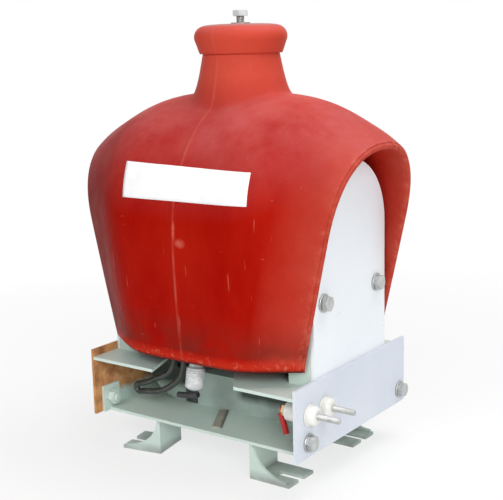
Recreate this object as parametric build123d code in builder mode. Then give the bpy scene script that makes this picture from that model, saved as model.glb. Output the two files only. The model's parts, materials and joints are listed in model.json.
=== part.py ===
from build123d import *
from math import atan, cos, radians, sin
import os

# Potential transformer: a cast resin body with a wound core through it, on a bolted sheet steel base.
# Millimetres, Z up, with 0 at the floor under the feet. X runs along the core, and the two low voltage
# terminals are at +X. The open side of the base, with the notch in its top plate, faces -Y.

# Base
base_length = 240.0  # over the outer faces of the two end plates
base_depth = 198.0
end_plate_height = 66.0
sheet = 3.0  # steel sheet of the end plates, the tray, the top plates and the feet
foot_height = 36.0
top_plate_drop = 7.0  # from the top edge of an end plate down to the top plates
tray_front_y = -83.0
tray_rear_y = 93.0
tray_tab_width = 22.0
tray_tab_height = 26.0

# Top plates, one each side of the core
core_slot_half = 32.0  # from the middle to the inner edge of a top plate
notch_left_x = -41.0  # corners of the hand-cut notch on the front edge
notch_right_x = 54.0
notch_left_skew = -14.0  # how far each side of the notch runs along X on its way in
notch_right_skew = -30.0
notch_depth = 42.0

# Feet
foot_web_x = 54.0  # inner face of the upright, from the middle
foot_length = 43.0
foot_width = 41.0
foot_y = 57.0
foot_slot_width = 9.0
foot_slot_length = 20.0
foot_turn = 10.0  # the front left foot is welded on askew by this many degrees
gusset_toe_inset = 3.0
gusset_toe_height = 2.0

# Resin body
body_clearance = 13.0  # between the top plates and the body's lower edge
body_wide_height = 118.0  # from the lower edge up to the widest level
body_half_depth = 110.5
body_foot_half_depth = 103.0
body_crown_height = 240.0  # from the lower edge up to the crown, inside the neck
hood_lower_x = 109.0  # where an end face meets the lower edge
hood_upper_x = 154.0  # the crown of an end face
hood_crown_height = 200.0
hood_half_width = 75.0
hood_foot_half_width = 70.0
hood_wall = 7.0
pad_inner_y = 36.0
pad_width = 18.0
pad_half_length = 62.0
# Sections of the body: how far each is along the way to the end, and how much of the narrowing
# and of the sinking of the crown it has by then
body_sections = (
    (0.0, 0.0, 0.0),
    (0.35, 0.0, 0.0375),
    (0.65, 0.073, 0.30),
    (0.85, 0.314, 0.625),
    (0.95, 0.65, 0.8375),
    (1.0, 1.0, 1.0),
)

# Neck and head of the body
neck_foot_radius = 53.0
neck_waist_radius = 36.2
neck_foot_height = 194.0
neck_waist_height = 276.0
head_radius = 43.6
head_side_height = 16.0
head_height = 27.5
head_edge_width = 9.0
head_edge_drop = 2.0
head_edge_bulge = 3.0
head_dome = 0.5
insert_radius = 9.0
insert_height = 1.0

# Core
core_half_width = 28.0
core_build = 34.0
core_end_gap = 3.0  # between the core and the frames of its covers
pocket_gap = 4.0  # between a leg of the core and the floor of its pocket
core_outer_radius = 38.0
core_inner_radius = 6.0
core_top_gap = 28.0  # from the crown of the hood down to the core
core_clearance = 1.0

# Covers at the two ends of the core
cover_side_gap = 4.0  # between an arch plate and the sides of its pocket
cover_crown_gap = 11.0
frame_depth = 24.0
frame_top_z = 190.0
cover_bolt_y = 47.0
cover_bolt_z = 168.0

# Fasteners
bolt_radius = 4.0
bolt_head_flat = 13.0
bolt_head_height = 5.3
washer_radius = 8.5
washer_thickness = 1.6
nut_height = 6.5
bolt_end = 2.0  # how far a bolt shows beyond its nut
hole_clearance = 0.5  # on the radius
end_bolt_z = 13.5  # above the tray
end_bolt_y = (-79.0, 89.0)

# High voltage terminal
hv_shank_length = 12.0
hv_thread_depth = 16.0

# Low voltage terminals
terminal_y = (-77.0, -52.0)
terminal_height = 38.5  # above the lower edge of the end plate
bush_radius = 9.0
bush_length = 9.0
bush_ring_radius = 10.2
bush_ring_thickness = 1.6
bush_chamfer = 2.6
bush_spigot_radius = 6.0
bush_inner_length = 19.0
stud_radius = 2.9
stud_shank_radius = 2.5  # inside the bush
stud_reach = 31.0  # beyond the end plate
stud_inner_reach = 31.0
terminal_nut_flat = 10.0
terminal_nut_height = 5.0

lug_radius = 5.2
lug_thickness = 1.0
lug_sleeve_radius = 2.8
lug_sleeve_length = 19.0
lug_sleeve_lean = 17.0

# Leads and straps seen through the notch
strap_width = 14.0
strap_thickness = 1.2
strap_x = -52.0
loop_radius = 3.0  # of the lead's own sleeve
loop_y = -61.0
loop_ends_x = (-45.0, -33.0)  # where the loop comes out of the body
loop_upper = ((-46.0, 92.0), (-53.0, 79.5), (-72.0, 69.5))  # X and Z
loop_lower = ((-68.0, 57.5), (-50.0, 66.5), (-37.5, 79.0), (-33.5, 94.0))
loop_tip = (-92.5, 57.0)  # middle of the bend where it turns back
loop_tip_radius = 4.0
loop_tip_slope = 15.0
gland_radius = 8.2
gland_length = 33.0
gland_x = -8.0
gland_inset = 38.5  # from the body's widest line in to the gland
gland_lean = 12.0
gland_tail_radius = 2.8
gland_tail_length = 24.0
floor_strip_width = 9.0
floor_strip_thickness = 1.5
floor_strip_length = 46.0
floor_strip_turn = 61.0
floor_strip_x = 2.0
floor_strip_y = -52.0

cut_margin = 1.0  # how far a cutter runs past what it cuts

# Levels worked out from the sizes above
tray_z = foot_height
end_top_z = foot_height + end_plate_height
top_plate_z = end_top_z - top_plate_drop
body_z = top_plate_z + body_clearance
inner_half = base_length / 2 - sheet
core_z = tray_z + sheet
wide_z = body_z + body_wide_height
hood_crown_z = body_z + hood_crown_height
core_top_z = hood_crown_z - core_top_gap
core_half_length = inner_half - 2 * sheet - core_end_gap
pocket_half = hood_half_width - hood_wall
pocket_floor_x = core_half_length - core_build - pocket_gap
cover_half_width = pocket_half - cover_side_gap
cover_crown_z = hood_crown_z - hood_wall - cover_crown_gap
gland_y = gland_inset - body_half_depth
head_z = body_z + neck_waist_height
head_top_z = head_z + head_height

os.makedirs("parts", exist_ok=True)


def save(piece, name):
    piece.label = name
    export_step(piece, f"parts/{name}.step")


# Resin body. Its sections stand across X and lean out towards the two ends.
def section_plane(share):
    lean = atan(share * (hood_upper_x - hood_lower_x) / hood_crown_height)
    return Plane(
        origin=(share * hood_lower_x, 0, body_z),
        x_dir=(0, 1, 0),
        z_dir=(cos(lean), 0, -sin(lean)),
    ), lean


with BuildPart() as resin_body:
    mirrored = [(-share, *rest) for share, *rest in reversed(body_sections[1:])]
    for share, narrowing, sinking in (*mirrored, *body_sections):
        plane, lean = section_plane(share)
        foot_half = body_foot_half_depth - narrowing * (body_foot_half_depth - hood_foot_half_width)
        wide_half = body_half_depth - narrowing * (body_half_depth - hood_half_width)
        crown = body_crown_height - sinking * (body_crown_height - hood_crown_height)
        wide_up = body_wide_height / cos(lean)
        with BuildSketch(plane):
            with BuildLine():
                floor = Line((-foot_half, 0), (foot_half, 0))
                TangentArc((wide_half, wide_up), floor @ 1, tangent=(0, -1))
                EllipticalCenterArc(
                    (0, wide_up), wide_half, crown / cos(lean) - wide_up, 0, arc_size=180
                )
                TangentArc((-wide_half, wide_up), floor @ 0, tangent=(0, -1))
            make_face()
    loft()
    with BuildSketch(Plane.XZ) as neck_profile:
        with BuildLine():
            neck_foot_z = body_z + neck_foot_height
            side_z = head_z + head_side_height
            Polyline(
                (0, neck_foot_z),
                (neck_foot_radius, neck_foot_z),
                (neck_waist_radius, head_z),
                (head_radius, side_z),
            )
            top_radius = head_radius - head_edge_width
            edge_z = head_top_z - head_edge_drop
            SagittaArc((head_radius, side_z), (top_radius, edge_z), -head_edge_bulge)
            ThreePointArc(
                (top_radius, edge_z), (top_radius / 2, head_top_z - head_dome), (0, head_top_z)
            )
            Line((0, head_top_z), (0, neck_foot_z))
        make_face()
    revolve(axis=Axis.Z)
    # The two pockets for the legs of the core, open at the ends and below
    for side in (-1, 1):
        with BuildSketch(Plane.YZ.offset(side * pocket_floor_x)):
            with BuildLine():
                Polyline(
                    (-pocket_half, wide_z),
                    (-pocket_half, body_z - cut_margin),
                    (pocket_half, body_z - cut_margin),
                    (pocket_half, wide_z),
                )
                EllipticalCenterArc(
                    (0, wide_z), pocket_half, hood_crown_z - hood_wall - wide_z, 0, arc_size=180
                )
            make_face()
        extrude(amount=side * (hood_upper_x - pocket_floor_x + cut_margin), mode=Mode.SUBTRACT)
    # The window for the upper limb of the core
    with Locations((0, 0, core_top_z - core_build / 2)):
        Box(
            2 * (pocket_floor_x + cut_margin),
            2 * (core_half_width + core_clearance),
            core_build + 2 * core_clearance,
            mode=Mode.SUBTRACT,
        )
    # Cast pads under the body, which stand on the top plates
    for side in (-1, 1):
        with Locations((0, side * (pad_inner_y + pad_width / 2), body_z - body_clearance / 2)):
            Box(2 * pad_half_length, pad_width, body_clearance)
    # Threaded insert hole of the high voltage terminal
    with Locations((0, 0, head_top_z)):
        Cylinder(
            bolt_radius,
            hv_thread_depth,
            align=(Align.CENTER, Align.CENTER, Align.MAX),
            mode=Mode.SUBTRACT,
        )
save(resin_body.part, "resin_body")


def hex_bolt(plane, head_flat, radius, length, washer=True):
    # The head stands on the plane, its shank runs back through it
    seat = washer_thickness if washer else 0.0
    with BuildPart() as bolt:
        if washer:
            with BuildSketch(plane):
                Circle(washer_radius)
            extrude(amount=washer_thickness)
        with BuildSketch(plane.offset(seat)):
            RegularPolygon(head_flat / 2, 6, major_radius=False)
        extrude(amount=bolt_head_height)
        with BuildSketch(plane.offset(seat)):
            Circle(radius)
        extrude(amount=-(length + seat))
    return bolt


# High voltage terminal: a hex bolt standing proud of its insert in the head
with BuildPart() as hv_insert:
    with BuildSketch(Plane.XY.offset(head_top_z)):
        Circle(insert_radius)
        Circle(bolt_radius, mode=Mode.SUBTRACT)
    extrude(amount=insert_height)
save(hv_insert.part, "hv_insert")

hv_bolt = hex_bolt(
    Plane.XY.offset(head_top_z + insert_height + hv_shank_length / 2),
    bolt_head_flat,
    bolt_radius,
    hv_shank_length / 2 + insert_height + hv_thread_depth,
    washer=False,
)
save(hv_bolt.part, "hv_terminal_bolt")

# Wound core: a rounded ring standing in the XZ plane, through the body and along the base
with BuildPart() as core_ring:
    with BuildSketch(Plane.XZ.offset(-core_half_width)):
        with Locations((0, (core_z + core_top_z) / 2)):
            RectangleRounded(2 * core_half_length, core_top_z - core_z, core_outer_radius)
            RectangleRounded(
                2 * (core_half_length - core_build),
                core_top_z - core_z - 2 * core_build,
                core_inner_radius,
                mode=Mode.SUBTRACT,
            )
    extrude(amount=2 * core_half_width)
save(core_ring.part, "core_ring")

# Steel band round the lower limb of the core
with BuildPart() as core_strap:
    with BuildSketch(Plane.YZ.offset(strap_x - strap_width / 2)):
        with Locations((0, core_z + core_build / 2)):
            Rectangle(
                2 * (core_half_width + strap_thickness), core_build + 2 * strap_thickness
            )
            Rectangle(2 * core_half_width, core_build, mode=Mode.SUBTRACT)
        with Locations((0, core_z - strap_thickness / 2)):
            Rectangle(
                2 * (core_half_width + strap_thickness), strap_thickness, mode=Mode.SUBTRACT
            )
    extrude(amount=strap_width)
save(core_strap.part, "core_strap")

# Base: end plates, tray, top plates and feet
end_bolt_level = tray_z + end_bolt_z
terminal_z = tray_z + terminal_height


def end_plate(side):
    with BuildPart() as plate:
        with BuildSketch(Plane.YZ.offset(side * inner_half)):
            with Locations((0, tray_z + end_plate_height / 2)):
                Rectangle(base_depth, end_plate_height)
            with Locations(*[(y, end_bolt_level) for y in end_bolt_y]):
                Circle(bolt_radius + hole_clearance, mode=Mode.SUBTRACT)
            if side > 0:
                with Locations(*[(y, terminal_z) for y in terminal_y]):
                    Circle(bush_spigot_radius + hole_clearance, mode=Mode.SUBTRACT)
        extrude(amount=side * sheet)
    return plate


save(end_plate(-1).part, "end_plate_left")
save(end_plate(1).part, "end_plate_right")

with BuildPart() as base_tray:
    with BuildSketch(Plane.XY.offset(tray_z)):
        with Locations((0, (tray_front_y + tray_rear_y) / 2)):
            Rectangle(2 * inner_half, tray_rear_y - tray_front_y)
    extrude(amount=sheet)
    for side in (-1, 1):
        with BuildSketch(Plane.YZ.offset(side * (inner_half - sheet))):
            with Locations(*[(y, tray_z + tray_tab_height / 2) for y in end_bolt_y]):
                Rectangle(tray_tab_width, tray_tab_height)
            with Locations(*[(y, end_bolt_level) for y in end_bolt_y]):
                Circle(bolt_radius + hole_clearance, mode=Mode.SUBTRACT)
        extrude(amount=side * sheet)
save(base_tray.part, "base_tray")


def top_plate(side, notched):
    outer = base_depth / 2
    with BuildPart() as plate:
        with BuildSketch(Plane.XY.offset(top_plate_z - sheet)):
            with Locations((0, side * (core_slot_half + outer) / 2)):
                Rectangle(2 * inner_half, outer - core_slot_half)
            if notched:
                with BuildLine():
                    Polyline(
                        (notch_left_x, side * outer),
                        (notch_left_x + notch_left_skew, side * (outer - notch_depth)),
                        (notch_right_x + notch_right_skew, side * (outer - notch_depth)),
                        (notch_right_x, side * outer),
                        close=True,
                    )
                make_face(mode=Mode.SUBTRACT)
        extrude(amount=sheet)
    return plate


save(top_plate(-1, True).part, "top_plate_front")
save(top_plate(1, False).part, "top_plate_rear")


def foot(side_x, side_y, turn):
    tip = foot_web_x + foot_length
    outer_y = foot_y + foot_width / 2
    with BuildPart() as piece:
        # Flange with its slot open at the tip
        with BuildSketch():
            with Locations((side_x * (foot_web_x + foot_length / 2), side_y * foot_y)):
                Rectangle(foot_length, foot_width)
            with Locations((side_x * (tip - foot_slot_length / 2), side_y * foot_y)):
                Rectangle(foot_slot_length, foot_slot_width, mode=Mode.SUBTRACT)
            with Locations((side_x * (tip - foot_slot_length), side_y * foot_y)):
                Circle(foot_slot_width / 2, mode=Mode.SUBTRACT)
        extrude(amount=sheet)
        # Upright under the tray
        with Locations((side_x * (foot_web_x + sheet / 2), side_y * foot_y, foot_height / 2)):
            Box(sheet, foot_width, foot_height)
        # Gusset with a hollow edge, on the outer side
        with BuildSketch(Plane.XZ.offset(-side_y * (outer_y - sheet / 2))):
            with BuildLine():
                web_face = side_x * (foot_web_x + sheet)
                toe = side_x * (tip - gusset_toe_inset)
                Polyline(
                    (web_face, foot_height),
                    (web_face, sheet),
                    (toe, sheet),
                    (toe, sheet + gusset_toe_height),
                )
                EllipticalCenterArc(
                    (toe, foot_height),
                    abs(toe - web_face),
                    foot_height - sheet - gusset_toe_height,
                    270,
                    arc_size=-side_x * 90,
                )
            make_face()
        extrude(amount=sheet / 2, both=True)
    corner = Axis((side_x * foot_web_x, side_y * outer_y, 0), (0, 0, 1))
    return piece.part.rotate(corner, turn)


for x_name, side_x in (("left", -1), ("right", 1)):
    for y_name, side_y in (("front", -1), ("rear", 1)):
        askew = foot_turn if (side_x, side_y) == (-1, -1) else 0.0
        save(foot(side_x, side_y, askew), f"foot_{y_name}_{x_name}")

# Covers of the core legs: a bolted arch plate over a folded frame on the top plates
for x_name, side in (("left", -1), ("right", 1)):
    frame_outer_x = side * (inner_half - sheet)
    with BuildPart() as end_frame:
        with BuildSketch(Plane.XY.offset(top_plate_z)):
            with Locations((frame_outer_x - side * frame_depth / 2, 0)):
                Rectangle(frame_depth, 2 * cover_half_width)
            with Locations((frame_outer_x - side * (frame_depth + cut_margin + sheet) / 2, 0)):
                Rectangle(
                    frame_depth + cut_margin - sheet,
                    2 * (cover_half_width - sheet),
                    mode=Mode.SUBTRACT,
                )
        extrude(amount=frame_top_z - top_plate_z)
        with BuildSketch(Plane.YZ.offset(frame_outer_x)):
            with Locations((-cover_bolt_y, cover_bolt_z), (cover_bolt_y, cover_bolt_z)):
                Circle(bolt_radius + hole_clearance)
        extrude(amount=-side * 2 * sheet, mode=Mode.SUBTRACT)
    save(end_frame.part, f"end_frame_{x_name}")

    with BuildPart() as arch_plate:
        with BuildSketch(Plane.YZ.offset(frame_outer_x)):
            with BuildLine():
                Polyline(
                    (-cover_half_width, wide_z),
                    (-cover_half_width, top_plate_z),
                    (cover_half_width, top_plate_z),
                    (cover_half_width, wide_z),
                )
                EllipticalCenterArc(
                    (0, wide_z), cover_half_width, cover_crown_z - wide_z, 0, arc_size=180
                )
            make_face()
            with Locations((-cover_bolt_y, cover_bolt_z), (cover_bolt_y, cover_bolt_z)):
                Circle(bolt_radius + hole_clearance, mode=Mode.SUBTRACT)
        extrude(amount=side * sheet)
    save(arch_plate.part, f"arch_plate_{x_name}")

    with BuildPart() as cover_bolts:
        for y in (-cover_bolt_y, cover_bolt_y):
            place = Plane(
                origin=(side * inner_half, y, cover_bolt_z), x_dir=(0, 1, 0), z_dir=(side, 0, 0)
            )
            add(hex_bolt(place, bolt_head_flat, bolt_radius, 2 * sheet + bolt_end).part)
    save(cover_bolts.part, f"cover_bolts_{x_name}")

    with BuildPart() as end_bolts:
        for y in end_bolt_y:
            place = Plane(
                origin=(side * base_length / 2, y, end_bolt_level),
                x_dir=(0, 1, 0),
                z_dir=(side, 0, 0),
            )
            length = 2 * sheet + nut_height + bolt_end
            add(hex_bolt(place, bolt_head_flat, bolt_radius, length).part)
            with BuildSketch(place.offset(-2 * sheet)):
                RegularPolygon(bolt_head_flat / 2, 6, major_radius=False)
            extrude(amount=-nut_height)
    save(end_bolts.part, f"end_bolts_{x_name}")

# Low voltage terminals through the right end plate
for number, y in enumerate(terminal_y, start=1):
    axis_plane = Plane(
        origin=(base_length / 2, y, terminal_z), x_dir=(0, 1, 0), z_dir=(1, 0, 0)
    )
    with BuildPart() as bush:
        with BuildSketch(axis_plane):
            Circle(bush_radius)
        extrude(amount=bush_length)
        chamfer(bush.faces().sort_by(Axis.X)[-1].edges(), bush_chamfer)
        with BuildSketch(axis_plane):
            Circle(bush_ring_radius)
        extrude(amount=bush_ring_thickness)
        with BuildSketch(axis_plane):
            Circle(bush_spigot_radius)
        extrude(amount=-sheet)
        with BuildSketch(axis_plane.offset(-sheet)):
            Circle(bush_radius)
        extrude(amount=-bush_inner_length)
        with BuildSketch(axis_plane.offset(bush_length)):
            Circle(stud_shank_radius)
        extrude(amount=-(bush_length + sheet + bush_inner_length), mode=Mode.SUBTRACT)
    save(bush.part, f"lv_bush_{number}")

    with BuildPart() as stud:
        with BuildSketch(axis_plane.offset(bush_length)):
            Circle(stud_radius)
        extrude(amount=stud_reach - bush_length)
        with BuildSketch(axis_plane.offset(bush_length)):
            Circle(stud_shank_radius)
        extrude(amount=-(bush_length + stud_inner_reach))
    save(stud.part, f"lv_stud_{number}")

    with BuildPart() as stud_nut:
        with BuildSketch(axis_plane.offset(-(sheet + bush_inner_length))):
            RegularPolygon(terminal_nut_flat / 2, 6, major_radius=False)
            Circle(stud_shank_radius, mode=Mode.SUBTRACT)
        extrude(amount=-terminal_nut_height)
    save(stud_nut.part, f"lv_nut_{number}")

# Crimped lug on the inner end of the front stud, with its sleeve hanging down
lug_x = base_length / 2 - sheet - bush_inner_length - terminal_nut_height
sleeve_plane = Plane(
    origin=(
        lug_x - lug_thickness / 2 - lug_sleeve_radius,
        terminal_y[0],
        terminal_z - lug_radius + lug_thickness,
    ),
    x_dir=(0, 1, 0),
    z_dir=(sin(radians(lug_sleeve_lean)), 0, -cos(radians(lug_sleeve_lean))),
)
with BuildPart() as lv_lug:
    with BuildSketch(Plane.YZ.offset(lug_x)):
        with Locations((terminal_y[0], terminal_z)):
            Circle(lug_radius)
            Circle(stud_shank_radius, mode=Mode.SUBTRACT)
    extrude(amount=-lug_thickness)
    with BuildSketch(sleeve_plane):
        Circle(lug_sleeve_radius)
    extrude(amount=lug_sleeve_length)
save(lv_lug.part, "lv_lug")

# Gland of the low voltage leads under the body, in the notch
gland_drop = gland_radius * sin(radians(gland_lean))
gland_plane = Plane(
    origin=(gland_x, gland_y, body_z - gland_drop),
    x_dir=(1, 0, 0),
    z_dir=(0, -sin(radians(gland_lean)), -cos(radians(gland_lean))),
)
with BuildPart() as lead_gland:
    with BuildSketch(gland_plane):
        Circle(gland_radius)
    extrude(amount=gland_length)
save(lead_gland.part, "lead_gland")

# Rubber tail of the gland, bent over to the left
gland_end = gland_plane.offset(gland_length + gland_tail_radius).origin
with BuildPart() as gland_tail:
    with BuildLine() as tail_line:
        Spline(
            gland_end + Vector(gland_radius - gland_tail_radius, 0, 0),
            gland_end + Vector(0, 0, -gland_tail_radius / 2),
            gland_end
            + Vector(gland_radius - gland_tail_radius - gland_tail_length, 0, -gland_radius / 2),
        )
    with BuildSketch(Plane(origin=tail_line.line @ 0, z_dir=tail_line.line % 0)):
        Circle(gland_tail_radius)
    sweep()
save(gland_tail.part, "gland_tail")

# Spare loop of a lead, hanging through the notch from the body
tip_run = Vector(-cos(radians(loop_tip_slope)), 0, -sin(radians(loop_tip_slope)))
tip_rise = Vector(-sin(radians(loop_tip_slope)), 0, cos(radians(loop_tip_slope))) * loop_tip_radius
tip_middle = Vector(loop_tip[0], loop_y, loop_tip[1])
with BuildPart() as lead_loop:
    with BuildLine() as loop_line:
        Spline(
            (loop_ends_x[0], loop_y, body_z),
            *[(x, loop_y, z) for x, z in loop_upper],
            tip_middle + tip_rise,
            tangents=((0, 0, -1), tip_run),
        )
        TangentArc(tip_middle + tip_rise, tip_middle - tip_rise, tangent=tip_run)
        Spline(
            tip_middle - tip_rise,
            *[(x, loop_y, z) for x, z in loop_lower],
            (loop_ends_x[1], loop_y, body_z),
            tangents=(-tip_run, (0, 0, 1)),
        )
    with BuildSketch(Plane.XY.offset(body_z)):
        with Locations((loop_ends_x[0], loop_y)):
            Circle(loop_radius)
    sweep(path=loop_line.line)
save(lead_loop.part, "lead_loop")

# Flat strip of packing that lies on the tray in front of the core
with BuildPart() as floor_strip:
    with BuildSketch(Plane.XY.offset(core_z)):
        with Locations((floor_strip_x, floor_strip_y)):
            Rectangle(floor_strip_length, floor_strip_width, rotation=-floor_strip_turn)
    extrude(amount=floor_strip_thickness)
save(floor_strip.part, "floor_strip")
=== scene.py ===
import json
from math import atan, atan2, copysign, cos, hypot, pi, radians, sin, sqrt, tan

import bmesh
import bpy
import numpy as np
from mathutils import Matrix, Vector

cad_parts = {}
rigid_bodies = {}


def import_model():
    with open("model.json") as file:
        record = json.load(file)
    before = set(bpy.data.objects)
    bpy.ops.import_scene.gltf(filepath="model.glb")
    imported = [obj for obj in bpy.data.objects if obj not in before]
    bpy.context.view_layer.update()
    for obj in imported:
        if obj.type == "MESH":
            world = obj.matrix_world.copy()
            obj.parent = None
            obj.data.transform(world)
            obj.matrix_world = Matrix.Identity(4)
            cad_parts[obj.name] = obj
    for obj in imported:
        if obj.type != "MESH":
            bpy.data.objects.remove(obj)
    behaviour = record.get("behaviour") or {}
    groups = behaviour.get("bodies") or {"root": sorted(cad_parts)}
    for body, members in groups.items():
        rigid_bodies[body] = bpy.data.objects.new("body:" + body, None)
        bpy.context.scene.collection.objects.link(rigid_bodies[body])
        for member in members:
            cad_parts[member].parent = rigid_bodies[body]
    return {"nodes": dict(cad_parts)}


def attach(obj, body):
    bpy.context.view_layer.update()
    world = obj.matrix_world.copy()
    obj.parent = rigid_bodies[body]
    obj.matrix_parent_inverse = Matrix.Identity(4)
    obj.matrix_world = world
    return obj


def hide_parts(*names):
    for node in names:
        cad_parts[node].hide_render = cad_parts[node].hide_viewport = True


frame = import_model()
nodes = frame["nodes"]
scene = bpy.context.scene
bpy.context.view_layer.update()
print("frame loaded, pieces:", len(nodes))

# Camera, at the photograph's angle
view = {
    "place": (0.5842, -0.7969, 0.3953),
    "heading": 35.958,  # degrees
    "down": 11.419,
    "roll": -1.465,
    "lens": 74.05,
    "sensor": 36.0,
}
heading, down, roll = (radians(view[key]) for key in ("heading", "down", "roll"))
back = Vector((
    sin(heading) * cos(down),
    -cos(heading) * cos(down),
    sin(down),
))
level = Vector((cos(heading), sin(heading), 0))
above = back.cross(level)
cameraRight = level * cos(roll) + above * sin(roll)
cameraUp = above * cos(roll) - level * sin(roll)
cameraData = bpy.data.cameras.new("viewCamera")
cameraData.lens = view["lens"]
cameraData.sensor_width = view["sensor"]
camera = bpy.data.objects.new("viewCamera", cameraData)
camera.matrix_world = (
    Matrix.Translation(view["place"])
    @ Matrix((cameraRight, cameraUp, back)).transposed().to_4x4()
)
scene.collection.objects.link(camera)
scene.camera = camera
scene.view_settings.view_transform = "Standard"


# Material helpers
def startMaterial(name):
    material = bpy.data.materials.new(name)
    material.use_nodes = True
    tree = material.node_tree
    where = tree.nodes.new("ShaderNodeTexCoord").outputs["Object"]
    return material, tree, tree.nodes["Principled BSDF"], where


def stretched(tree, where, scale, turn=(0, 0, 0)):
    mapping = tree.nodes.new("ShaderNodeMapping")
    mapping.inputs["Scale"].default_value = scale
    mapping.inputs["Rotation"].default_value = turn
    tree.links.new(where, mapping.inputs["Vector"])
    return mapping.outputs[0]


def cloud(tree, where, scale, detail=4.0, roughness=0.55):
    node = tree.nodes.new("ShaderNodeTexNoise")
    node.inputs["Scale"].default_value = scale
    node.inputs["Detail"].default_value = detail
    node.inputs["Roughness"].default_value = roughness
    tree.links.new(where, node.inputs["Vector"])
    return node.outputs["Fac"]


def fade(tree, value, low, high, fromValue=0.0, toValue=1.0):
    node = tree.nodes.new("ShaderNodeMapRange")
    node.inputs["From Min"].default_value = low
    node.inputs["From Max"].default_value = high
    node.inputs["To Min"].default_value = fromValue
    node.inputs["To Max"].default_value = toValue
    tree.links.new(value, node.inputs["Value"])
    return node.outputs[0]


def mottle(tree, where, pattern):
    # a pattern is the noise's scale, detail and roughness, then the numbers that fade takes
    scale, detail, roughness, *span = pattern
    return fade(tree, cloud(tree, where, scale, detail, roughness), *span)


def broken(tree, where, value, pattern):
    return sums(tree, "MULTIPLY", value, mottle(tree, where, pattern))


def twoShades(tree, where, look):
    return blendColour(tree, mottle(tree, where, look["patches"]), look["colour"], look["second"])


def grained(tree, where, look, kind, under=None):
    # one layer of relief from a noise and its depth
    return relief(tree, cloud(tree, where, *look[kind]), look[kind + "Depth"], under)


def unevenRoughness(tree, where, grain, roughness, spread):
    return fade(tree, cloud(tree, where, *grain), 0.3, 0.7, roughness, roughness + spread)


def sums(tree, operation, first, second):
    node = tree.nodes.new("ShaderNodeMath")
    node.operation = operation
    for socket, value in zip(node.inputs, (first, second)):
        if isinstance(value, (int, float)):
            socket.default_value = value
        else:
            tree.links.new(value, socket)
    return node.outputs[0]


def blendColour(tree, share, first, second):
    node = tree.nodes.new("ShaderNodeMix")
    node.data_type = "RGBA"
    for socket, value in ((node.inputs[0], share), (node.inputs[6], first), (node.inputs[7], second)):
        if isinstance(value, tuple):
            socket.default_value = (*value, 1)
        else:
            tree.links.new(value, socket)
    return node.outputs[2]


def relief(tree, height, depth, under=None):
    node = tree.nodes.new("ShaderNodeBump")
    node.inputs["Distance"].default_value = depth
    tree.links.new(height, node.inputs["Height"])
    if under is not None:
        tree.links.new(under, node.inputs["Normal"])
    return node.outputs[0]


def axisOf(tree, where, axis):
    node = tree.nodes.new("ShaderNodeSeparateXYZ")
    tree.links.new(where, node.inputs[0])
    return node.outputs[axis]


def distanceFrom(tree, vector):
    node = tree.nodes.new("ShaderNodeVectorMath")
    node.operation = "LENGTH"
    tree.links.new(vector, node.inputs[0])
    return node.outputs["Value"]


def crevice(tree, reach, strength):
    # strength where faces are close together, 0 in the open
    node = tree.nodes.new("ShaderNodeAmbientOcclusion")
    node.inputs["Distance"].default_value = reach
    node.samples = 4
    return fade(tree, node.outputs["AO"], 0.3, 0.8, strength, 0.0)


def spotAt(tree, where, centre, size):
    # 1 in the middle of a soft ellipsoid, 0 outside it
    mapping = tree.nodes.new("ShaderNodeMapping")
    mapping.vector_type = "TEXTURE"
    mapping.inputs["Location"].default_value = centre
    mapping.inputs["Scale"].default_value = size
    tree.links.new(where, mapping.inputs["Vector"])
    return fade(tree, distanceFrom(tree, mapping.outputs[0]), 0.3, 1.0, 1.0, 0.0)


def setSockets(tree, shader, colour, roughness, normal):
    tree.links.new(colour, shader.inputs["Base Color"])
    if isinstance(roughness, float):
        shader.inputs["Roughness"].default_value = roughness
    else:
        tree.links.new(roughness, shader.inputs["Roughness"])
    tree.links.new(normal, shader.inputs["Normal"])


# Floor, world and lamps
studio = {
    "white": (1, 1, 1, 1),
    "floorColour": (0.86, 0.86, 0.86, 1),
    "floorRoughness": 0.9,
    "floorSpecular": 0.1,
    "floorHalf": 3.0,
    "floorWhite": 0.70,  # how much of the floor near the object is plain white to the camera
    "shadowReach": (0.35, 0.85),  # from the object outwards, where the floor turns all white
    "ambient": 0.21,
    "lampAim": (0, 0, 0.2),
    "keyPlace": (1.70, -1.35, 0.98),
    "keyPower": 24.0,
    "keySize": 1.0,
    "fillPlace": (0.10, -1.75, 1.25),
    "fillPower": 14.0,
    "fillSize": 1.0,
    "topPlace": (0.35, 0.35, 1.75),
    "topPower": 24.0,
    "topSize": 1.3,
}


def seenPlainly(tree):
    # 1 where the camera, a gloss or a glass looks straight at the surface
    path = tree.nodes.new("ShaderNodeLightPath")
    seen = path.outputs["Is Camera Ray"]
    for ray in ("Is Glossy Ray", "Is Transmission Ray"):
        seen = sums(tree, "MAXIMUM", seen, path.outputs[ray])
    return seen


def mixInto(tree, share, first, second, output):
    either = tree.nodes.new("ShaderNodeMixShader")
    tree.links.new(share, either.inputs[0])
    tree.links.new(first.outputs[0], either.inputs[1])
    tree.links.new(second.outputs[0], either.inputs[2])
    tree.links.new(either.outputs[0], tree.nodes[output].inputs["Surface"])


world = bpy.data.worlds.new("studioWorld")
scene.world = world
world.use_nodes = True
wires = world.node_tree
soft = wires.nodes["Background"]
soft.inputs["Color"].default_value = studio["white"]
soft.inputs["Strength"].default_value = studio["ambient"]
plain = wires.nodes.new("ShaderNodeBackground")
plain.inputs["Color"].default_value = studio["white"]
plain.inputs["Strength"].default_value = 1.0
mixInto(wires, seenPlainly(wires), soft, plain, "World Output")

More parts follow.
